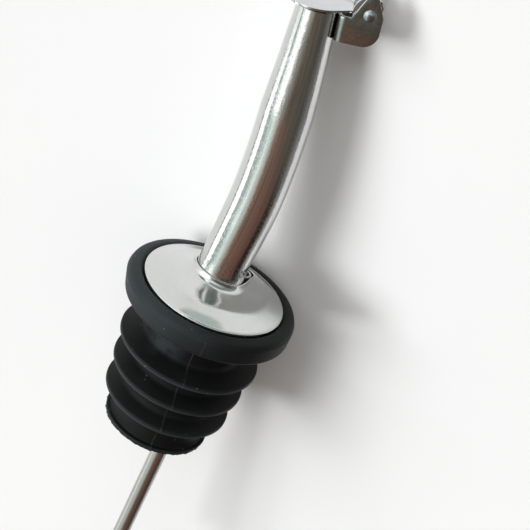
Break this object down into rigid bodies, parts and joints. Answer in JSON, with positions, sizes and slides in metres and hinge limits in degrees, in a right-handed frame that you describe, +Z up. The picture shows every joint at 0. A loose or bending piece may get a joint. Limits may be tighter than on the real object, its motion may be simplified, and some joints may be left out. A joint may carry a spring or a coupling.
{
  "type": "bottle pourer",
  "caption": "Bottle pourer: a finned rubber stopper with a polished cover plate carries a bent, tapered spout, a vent tube and a hinged flap lid that falls shut over the mouth.",
  "frame": {"origin": "centre of the flange's underside, where the stopper seats on the bottle's lip", "axes": "+Z up the stopper's axis, +X to the hinge; the spout pours towards -X"},
  "size_m": [0.03, 0.03, 0.1283],
  "materials": {
    "rubber": "satin black",
    "plate": "polished",
    "spout": "polished, with a fine lengthwise grain",
    "vent": "drawn",
    "bracket": "bright rolled",
    "rivet": "bright",
    "lid": "polished"
  },
  "bodies": {
    "body": {"rubber_stopper": "rubber", "cover_plate": "plate", "spout_tube": "spout", "vent_tube": "vent", "hinge_bracket": "bracket", "hinge_rivet": "rivet"},
    "lid": {"flap_lid": "lid"}
  },
  "joints": [
    {"name": "lid_hinge", "type": "hinge", "parent": "body", "child": "lid", "pos_m": [0.00369, 0, 0.05827], "axis": [0, 1, 0], "range_deg": [0, 70]}
  ]
}
